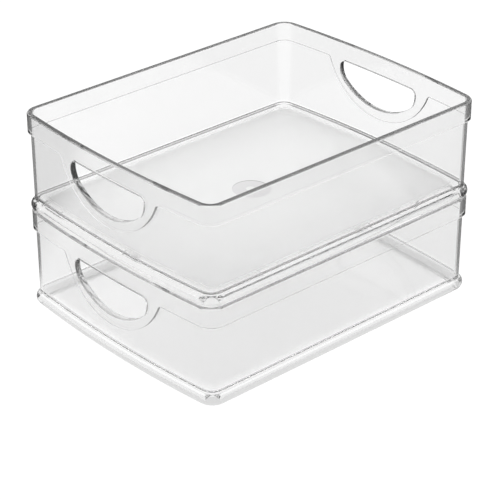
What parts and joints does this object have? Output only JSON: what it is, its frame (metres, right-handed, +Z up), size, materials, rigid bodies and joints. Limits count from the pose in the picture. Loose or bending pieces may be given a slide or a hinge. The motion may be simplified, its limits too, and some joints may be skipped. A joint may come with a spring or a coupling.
{
  "type": "stackable fridge bin",
  "caption": "Clear open-topped storage bin with bowed ends, a D-shaped hand hole in each end, a stepped band at the rim and a flared foot, with a matching bin stacked on it.",
  "frame": {"origin": "middle of the lower bin's footprint, on the plane it stands on", "axes": "+X across the width, +Y along the length from one hand hole to the other, +Z up"},
  "size_m": [0.201, 0.2614, 0.152],
  "materials": {
    "lower_clear": "clear glossy moulded plastic",
    "upper_clear": "clear glossy moulded plastic"
  },
  "bodies": {
    "lower_bin": {"lower_bin": "lower_clear"},
    "upper_bin": {"upper_bin": "upper_clear"}
  },
  "joints": [
    {"name": "upper_bin_lift", "type": "slide", "parent": "lower_bin", "child": "upper_bin", "axis": [0, 0, 1], "range_m": [0, 0.12]}
  ]
}
